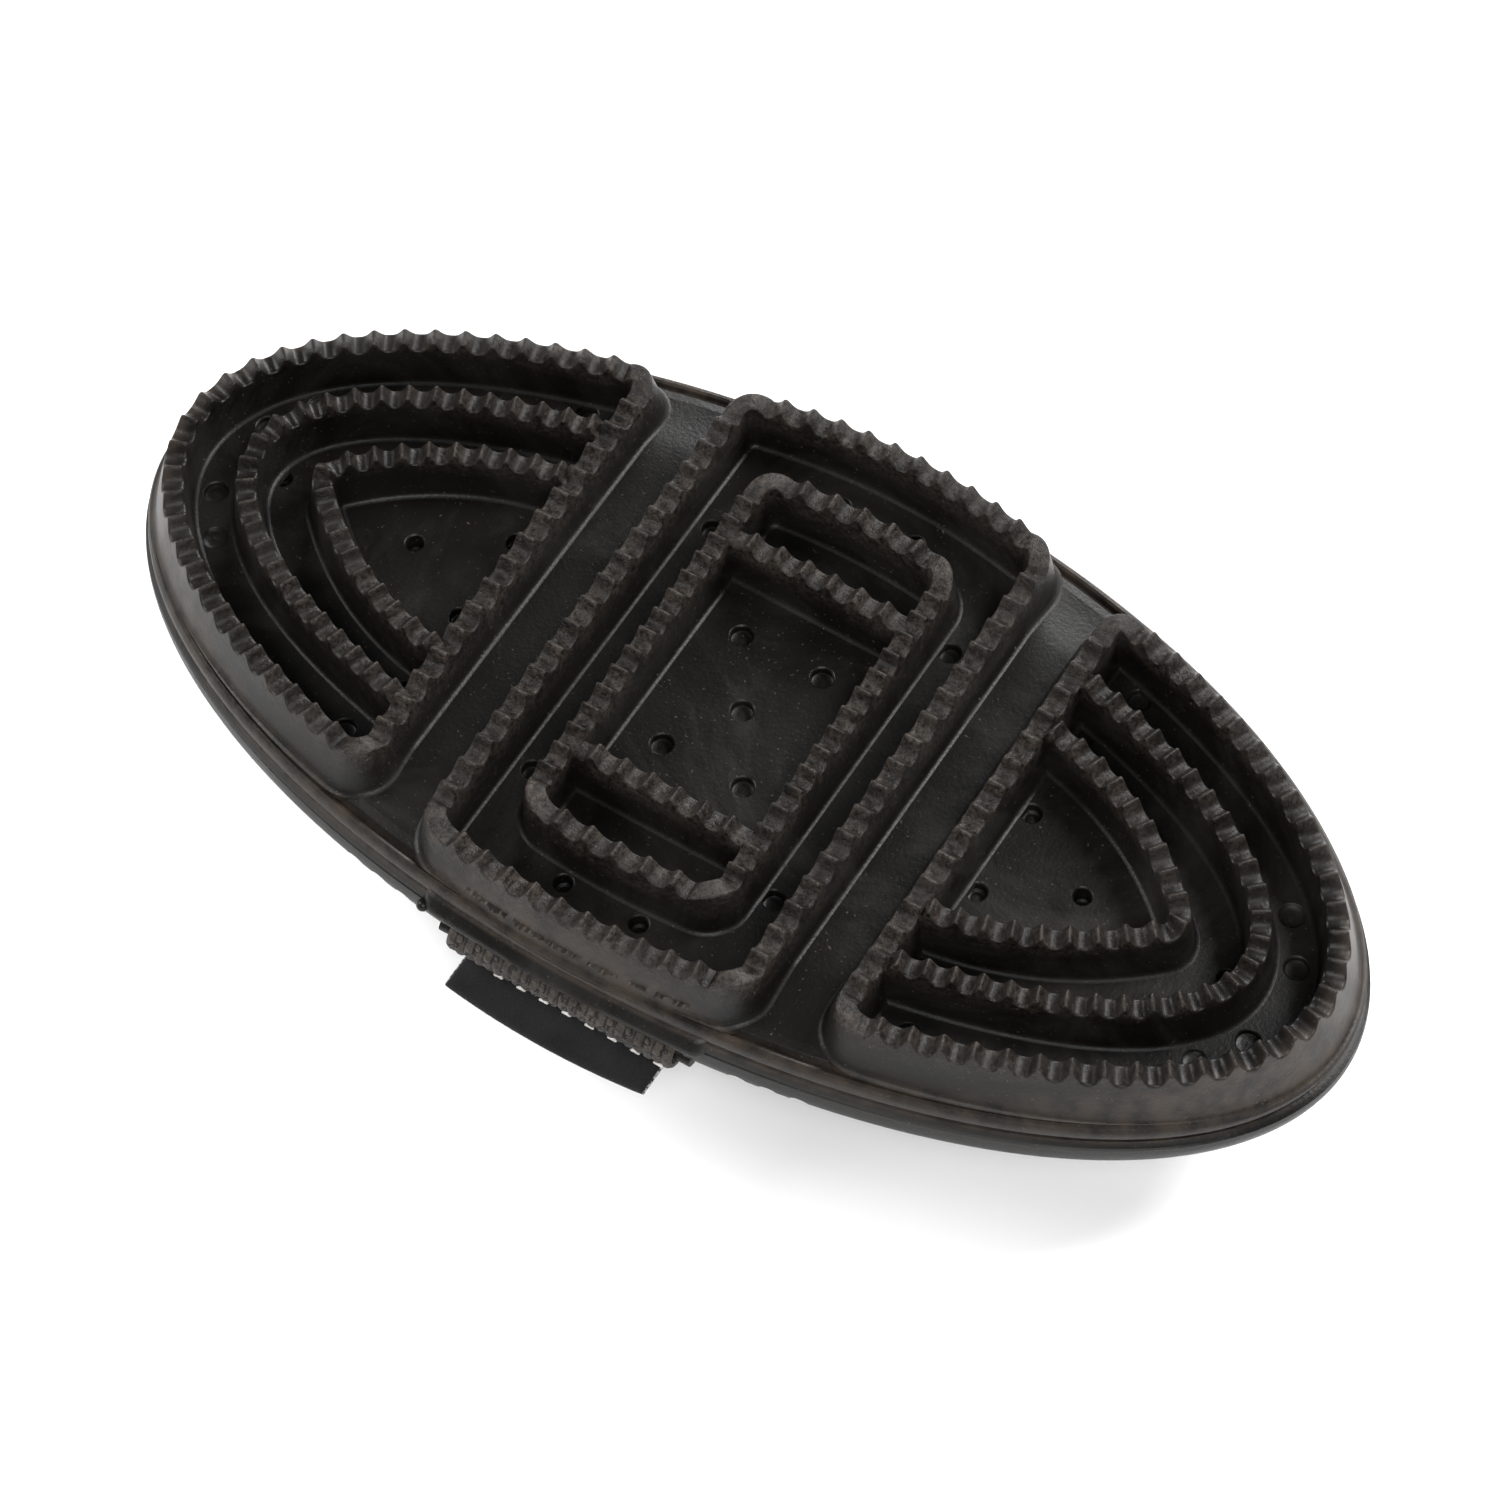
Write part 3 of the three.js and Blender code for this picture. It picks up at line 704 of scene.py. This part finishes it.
def stitches(name, spots, direction, material, body, length=2.6, radius=0.33):
    """A row of separate thread stitches, each a short rounded bar sunk at both ends."""
    parts = Parts()
    turn = np.linspace(0, 2 * np.pi, 8, endpoint=False)
    for centre, normal in spots:
        centre, normal = np.array(centre, float), np.array(normal, float)
        along = np.array(direction(normal), float)
        side = np.cross(normal, along)
        rings = []
        for t in np.linspace(-1, 1, 9):
            bulge = radius * math.sqrt(max(0.02, 1 - abs(t) ** 3))
            middle = centre + along * t * length / 2 + normal * (0.18 - 0.42 * t * t)
            rings.append([middle + bulge * (math.cos(a) * side + math.sin(a) * normal) for a in turn])
        parts.loft(rings)
    return parts.build(name, material, bow=False, body=body)


# ---------------------------------------------------------------- materials

# The dark and light ends of each colour, and the low specular level that all but the floor share.
RUBBER_DARK, RUBBER_LIGHT = (0.0022, 0.0018, 0.0016), (0.0054, 0.0046, 0.0041)
# Brown dust on the upper teeth, which is also painted highlight on the crests.
DUST_AND_HIGHLIGHT_DARK, DUST_AND_HIGHLIGHT_LIGHT = (0.005, 0.0040, 0.0033), (0.052, 0.0415, 0.0340)
SMEAR = (0.0200, 0.0176, 0.0160, 1)
# Brown dust on the rim's bead, which is also painted highlight along it.
RIM_DUST_AND_HIGHLIGHT = (0.030, 0.0225, 0.0170, 1)
SPECK = (0.06, 0.050, 0.041, 1)
WEB_DARK, WEB_LIGHT = (0.012, 0.0100, 0.0085, 1), (0.066, 0.055, 0.047, 1)
# Painted shade between the weft rows and in the gaps between the yarns.
WEB_ROW_SHADE, WEB_GAP_SHADE = (0.004, 0.0033, 0.0028, 1), (0.002, 0.0017, 0.0015, 1)
TAPE_DARK, TAPE_LIGHT = (0.0015, 0.0015, 0.0017, 1), (0.014, 0.014, 0.0145, 1)
THREAD_DARK, THREAD_LIGHT = (0.012, 0.011, 0.010, 1), (0.04, 0.036, 0.033, 1)
PALE_DARK, PALE_LIGHT = (0.55, 0.53, 0.50, 1), (0.8, 0.79, 0.76, 1)
DULL = 0.2


def new_material(name):
    material = bpy.data.materials.new(name)
    material.use_nodes = True
    nodes = material.node_tree.nodes
    return material, nodes, material.node_tree.links, nodes["Principled BSDF"]


def noise(nodes, links, coords, scale, detail=4.0, rough=0.55, distortion=0.0):
    node = nodes.new("ShaderNodeTexNoise")
    node.inputs["Distortion"].default_value = distortion
    node.inputs["Scale"].default_value = scale
    node.inputs["Detail"].default_value = detail
    node.inputs["Roughness"].default_value = rough
    links.new(coords, node.inputs["Vector"])
    return node.outputs["Fac"]


def ramp(nodes, links, value, stops):
    node = nodes.new("ShaderNodeValToRGB")
    elements = node.color_ramp.elements
    while len(elements) < len(stops):
        elements.new(0.5)
    for element, (place, colour) in zip(elements, stops):
        element.position = place
        element.color = colour if len(colour) == 4 else (*colour, 1)
    links.new(value, node.inputs["Fac"])
    return node.outputs["Color"]


def grey(value):
    return (value, value, value, 1)


def mixed(nodes, links, factor, a, b, kind="RGBA"):
    node = nodes.new("ShaderNodeMix")
    node.data_type = kind
    names = {"RGBA": (6, 7, 2), "FLOAT": (2, 3, 0)}[kind]
    sockets = (node.inputs[0], node.inputs[names[0]], node.inputs[names[1]])
    for socket, value in zip(sockets, (factor, a, b)):
        if hasattr(value, "links"):
            links.new(value, socket)
        else:
            socket.default_value = value
    return node.outputs[names[2]]


def bump(nodes, links, height, distance, strength, normal=None):
    node = nodes.new("ShaderNodeBump")
    node.inputs["Distance"].default_value = distance
    node.inputs["Strength"].default_value = strength
    links.new(height, node.inputs["Height"])
    if normal:
        links.new(normal, node.inputs["Normal"])
    return node.outputs["Normal"]


def map_range(nodes, links, value, start, end):
    node = nodes.new("ShaderNodeMapRange")
    node.inputs["From Min"].default_value = start
    node.inputs["From Max"].default_value = end
    links.new(value, node.inputs["Value"])
    return node.outputs["Result"]


def rim_mask(nodes, links, coords):
    """White on the bead that runs round the top of the rim."""
    scaled = nodes.new("ShaderNodeVectorMath")
    scaled.operation = "MULTIPLY"
    scaled.inputs[1].default_value = (1 / (HALF_LENGTH * MM), 1 / (HALF_WIDTH * MM), 0)
    links.new(coords, scaled.inputs[0])
    radius = nodes.new("ShaderNodeVectorMath")
    radius.operation = "LENGTH"
    links.new(scaled.outputs["Vector"], radius.inputs[0])
    return ramp(nodes, links, radius.outputs["Value"],
                [(0.940, grey(0)), (0.956, grey(1)), (0.988, grey(1)), (0.995, grey(0))])


def rubber_material():
    """Black satin rubber: cloudy bloom and smears, brown dust with painted highlight on the teeth and the
    rim, fine specks.
    """
    material, nodes, links, shader = new_material("rubber")
    coords = nodes.new("ShaderNodeTexCoord").outputs["Object"]
    cloud = noise(nodes, links, coords, 42, 5, 0.6)
    grain = noise(nodes, links, coords, 1600, 3, 0.6)
    rough_skin = noise(nodes, links, coords, 1250, 4, 0.7)
    position = nodes.new("ShaderNodeSeparateXYZ")
    links.new(coords, position.inputs[0])
    high = map_range(nodes, links, position.outputs["Z"], (CREST - 6) * MM, (CREST - 1) * MM)
    base = ramp(nodes, links, cloud, [(0.3, RUBBER_DARK), (0.7, RUBBER_LIGHT)])
    # Brown dust and painted highlight on the upper 5 mm of the teeth, in patches.
    dust_and_highlight = ramp(nodes, links, rough_skin, [(0.38, DUST_AND_HIGHLIGHT_DARK), (0.62, DUST_AND_HIGHLIGHT_LIGHT)])
    blotches = noise(nodes, links, coords, 240, 4, 0.65)
    patches = ramp(nodes, links, blotches, [(0.36, grey(0.15)), (0.6, grey(0.9))])
    colour = mixed(nodes, links, mixed(nodes, links, high, grey(0), patches), base, dust_and_highlight)
    streaks = noise(nodes, links, coords, 24, 7, 0.68, 1.6)
    smear = ramp(nodes, links, streaks, [(0.47, grey(0)), (0.72, grey(0.6))])
    colour = mixed(nodes, links, smear, colour, SMEAR)
    # Brown dust and painted highlight along the rim's bead, in patches.
    rim_dust_and_highlight = mixed(nodes, links, rim_mask(nodes, links, coords), grey(0), patches)
    colour = mixed(nodes, links, rim_dust_and_highlight, colour, RIM_DUST_AND_HIGHLIGHT)
    points = noise(nodes, links, coords, 2100, 2, 0.5)
    specks = ramp(nodes, links, points, [(0.70, grey(0)), (0.73, grey(0.8))])
    colour = mixed(nodes, links, specks, colour, SPECK)
    links.new(colour, shader.inputs["Base Color"])
    gloss = mixed(nodes, links, 0.5, cloud, smear, "FLOAT")
    roughness = ramp(nodes, links, gloss, [(0.15, grey(0.36)), (0.6, grey(0.56))])
    links.new(roughness, shader.inputs["Roughness"])
    shader.inputs["Specular IOR Level"].default_value = DULL
    soft = bump(nodes, links, noise(nodes, links, coords, 190, 3), 0.0003, 0.2)
    skin = mixed(nodes, links, high, grey(0), rough_skin)
    worn = bump(nodes, links, skin, 0.0004, 0.8, soft)
    links.new(bump(nodes, links, grain, 0.00012, 0.5, worn), shader.inputs["Normal"])
    return material


def fabric_material(name, dark, light, fibre, sheen):
    """Yarn: fine fibres along the weave, uneven colour, dull with a little sheen."""
    material, nodes, links, shader = new_material(name)
    coords = nodes.new("ShaderNodeTexCoord").outputs["Object"]
    fibres = noise(nodes, links, coords, fibre, 3, 0.7)
    patch = noise(nodes, links, coords, 150, 4, 0.6)
    blend = mixed(nodes, links, 0.5, fibres, patch, "FLOAT")
    links.new(ramp(nodes, links, blend, [(0.36, dark), (0.64, light)]), shader.inputs["Base Color"])
    roughness = ramp(nodes, links, patch, [(0.3, grey(0.72)), (0.7, grey(0.92))])
    links.new(roughness, shader.inputs["Roughness"])
    shader.inputs["Specular IOR Level"].default_value = DULL
    shader.inputs["Sheen Weight"].default_value = sheen
    shader.inputs["Sheen Roughness"].default_value = 0.5
    links.new(bump(nodes, links, fibres, 0.0002, 0.7), shader.inputs["Normal"])
    return material


def stripes(nodes, links, coords, across, dark):
    """White on the yarns and dark between them, in stripes across a direction in yarns per millimetre."""
    turn = nodes.new("ShaderNodeVectorMath")
    turn.operation = "DOT_PRODUCT"
    turn.inputs[1].default_value = [math.pi * part / MM for part in across]
    links.new(coords, turn.inputs[0])
    value = turn.outputs["Value"]
    for operation in ("SINE", "ABSOLUTE"):
        step = nodes.new("ShaderNodeMath")
        step.operation = operation
        links.new(value, step.inputs[0])
        value = step.outputs[0]
    return ramp(nodes, links, value, [(0.08, grey(dark)), (0.5, grey(1))])


def webbing_material():
    """Coarse brown-grey webbing of slanted yarns, with painted shade between them."""
    material = fabric_material("webbing", WEB_DARK, WEB_LIGHT, 2600, 0.1)
    nodes, links = material.node_tree.nodes, material.node_tree.links
    shader = nodes["Principled BSDF"]
    colour = shader.inputs["Base Color"].links[0].from_socket
    coords = nodes.new("ShaderNodeTexCoord").outputs["Object"]
    rows = stripes(nodes, links, coords, (0.35, 0.85, -0.85), 0.15)
    # Painted shade between the rows and in the gaps between the yarns.
    colour = mixed(nodes, links, rows, WEB_ROW_SHADE, colour)
    gaps = stripes(nodes, links, coords, (1 / YARN, 0, 0), 0.2)
    colour = mixed(nodes, links, gaps, WEB_GAP_SHADE, colour)
    links.new(colour, shader.inputs["Base Color"])
    fibres = shader.inputs["Normal"].links[0].from_socket
    links.new(bump(nodes, links, rows, 0.0003, 0.7, fibres), shader.inputs["Normal"])
    return material


def tape_material():
    """Smooth dull tape with a fine grain and pale, ragged cut edges."""
    material = fabric_material("tape", TAPE_DARK, TAPE_LIGHT, 3300, 0.1)
    nodes, links = material.node_tree.nodes, material.node_tree.links
    shader = nodes["Principled BSDF"]
    body = shader.inputs["Base Color"].links[0].from_socket
    coords = nodes.new("ShaderNodeTexCoord").outputs["Object"]
    place = nodes.new("ShaderNodeSeparateXYZ")
    links.new(coords, place.inputs[0])
    distance = nodes.new("ShaderNodeMath")
    distance.operation = "ABSOLUTE"
    links.new(place.outputs["X"], distance.inputs[0])
    start, end = (TAPE_WIDTH / 2 - 0.25) * MM, (TAPE_WIDTH / 2 - 0.05) * MM
    edge = map_range(nodes, links, distance.outputs[0], start, end)
    ragged = ramp(nodes, links, noise(nodes, links, coords, 2500, 2), [(0.42, grey(0)), (0.58, grey(1))])
    frayed = mixed(nodes, links, edge, grey(0), ragged)
    links.new(mixed(nodes, links, frayed, body, grey(0.5)), shader.inputs["Base Color"])
    return material


def floor_material():
    material, _, _, shader = new_material("floor")
    shader.inputs["Base Color"].default_value = (0.95, 0.95, 0.95, 1)
    shader.inputs["Roughness"].default_value = 0.9
    return material


# ---------------------------------------------------------------- assembly

def make_pad():
    material = rubber_material()
    pieces = [make_plate(material), make_centre_ridges(material), make_end_ridges(material),
              make_flanges(material), make_flash(material), make_bars(material)]
    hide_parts("rubber_pad")


def seam_spots(ys, xs, offset, face):
    """Places and normals of stitches on the arch, face 1 on the hand's side and -1 on the outside."""
    for y in ys:
        slope = (arch_height(y + 0.1) - arch_height(y - 0.1)) / 0.2
        normal = np.array([0, -slope, 1]) / math.hypot(slope, 1)
        for x in xs:
            yield np.array([x, y, arch_height(y)]) + normal * offset * face, normal * face


def x_way(normal):
    """Stitches along the width of the strap."""
    return (1, 0, 0)


def y_way(normal):
    """Stitches along the length of the strap."""
    return np.cross((1, 0, 0), normal)


def make_webbing():
    web = webbing_material()
    strap = strip("hand_strap", strap_path(), WEB_WIDTH, WEB_THICK, web, "brush", WEB_RELIEF)
    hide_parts("strap_webbing")
    tail = strip("tail_webbing", tail_path(), WEB_WIDTH, WEB_THICK, web, "tail", WEB_RELIEF)
    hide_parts("strap_tail")


def make_tapes():
    tape = tape_material()
    hook_path = sample(hook_height, TAB_TIP, HOOK_END, 120)
    hook = strip("hook_tape_band", hook_path, TAPE_WIDTH, TAPE_THICK, tape, "tail", HOOK_RELIEF,
                 bulge=TAB_BULGE)
    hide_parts("hook_tape")
    loop_path = shifted(sample(arch_height, LOOP_FROM, LOOP_TO, 80), -LOOP_OFFSET)
    loop = strip("loop_tape_band", loop_path, TAPE_WIDTH, TAPE_THICK, tape, "brush", LOOP_RELIEF)
    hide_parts("loop_tape")


def make_tab_stitches():
    """A row of pale stitches that shows between the near fold and the tab."""
    pale = fabric_material("pale_thread", PALE_DARK, PALE_LIGHT, 3000, 0.2)
    spots = [(np.array([x, TAB_SEAM_Y, TAB_Z + TAPE_THICK / 2 + 0.1]), np.array([0, 0, 1.0]))
             for x in TAB_STITCHES]
    row = stitches("tab_stitches", spots, x_way, pale, "tail", 1.7)


def make_seams():
    """Two rows through the sewn end, each seen on both faces, and two rows along the loop tape."""
    thread = fabric_material("thread", THREAD_DARK, THREAD_LIGHT, 3000, 0.2)
    under = SEAM_RISE + WEB_THICK + GAP
    for i, y in enumerate(END_SEAM_Y, 1):
        spots = seam_spots([y], END_STITCHES, SEAM_RISE, 1)
        upper = stitches(f"end_stitches_upper_{i}", spots, x_way, thread, "brush")
        spots = seam_spots([y], END_STITCHES, under, -1)
        lower = stitches(f"end_stitches_lower_{i}", spots, x_way, thread, "brush")
        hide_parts(f"sewn_end_seam_upper_{i}")
        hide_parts(f"sewn_end_seam_lower_{i}")
    for i, x in enumerate(LOOP_SEAM_X, 1):
        spots = seam_spots(LOOP_STITCHES, [x], SEAM_RISE, 1)
        row = stitches(f"loop_tape_stitches_{i}", spots, y_way, thread, "brush")
        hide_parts(f"loop_tape_seam_{i}")


def make_stage():
    mesh = bpy.data.meshes.new("floor")
    corners = [(x * FLOOR_HALF, y * FLOOR_HALF, 0) for x, y in ((-1, -1), (1, -1), (1, 1), (-1, 1))]
    mesh.from_pydata(corners, [], [(0, 1, 2, 3)])
    mesh.materials.append(floor_material())
    floor = bpy.data.objects.new("floor", mesh)
    bpy.context.scene.collection.objects.link(floor)


def area_light(name, place, size, power):
    light = bpy.data.lights.new(name, "AREA")
    light.shape = "DISK"
    light.size = size
    light.energy = power
    obj = bpy.data.objects.new(name, light)
    obj.location = place
    towards = Vector(LIGHT_AIM) - Vector(place)
    obj.rotation_euler = towards.to_track_quat("-Z", "Y").to_euler()
    bpy.context.scene.collection.objects.link(obj)


def make_lights():
    world = bpy.data.worlds.new("studio")
    world.use_nodes = True
    background = world.node_tree.nodes["Background"]
    background.inputs["Color"].default_value = (1, 1, 1, 1)
    background.inputs["Strength"].default_value = WORLD_STRENGTH
    bpy.context.scene.world = world
    for name, place, size, power in LIGHTS:
        area_light(name, place, size, power)


def make_camera():
    camera = bpy.data.cameras.new("camera")
    camera.lens = LENS
    camera.sensor_width = SENSOR
    camera.clip_end = 20.0
    obj = bpy.data.objects.new("camera", camera)
    azimuth, elevation = math.radians(AZIMUTH), math.radians(ELEVATION)
    away = Vector((math.sin(azimuth) * math.cos(elevation), -math.cos(azimuth) * math.cos(elevation),
                   math.sin(elevation)))
    aim = Vector((AIM[0], AIM[1], AIM[2] + CREST)) * MM
    obj.location = aim + away * DISTANCE * MM
    turn = (-away).to_track_quat("-Z", "Y").to_matrix() @ Matrix.Rotation(math.radians(ROLL), 3, "Z")
    obj.rotation_euler = turn.to_euler()
    bpy.context.scene.collection.objects.link(obj)
    bpy.context.scene.camera = obj


make_camera()
make_pad()
make_webbing()
make_tapes()
make_tab_stitches()
make_seams()
make_stage()
make_lights()
bpy.context.scene.view_settings.view_transform = "Standard"
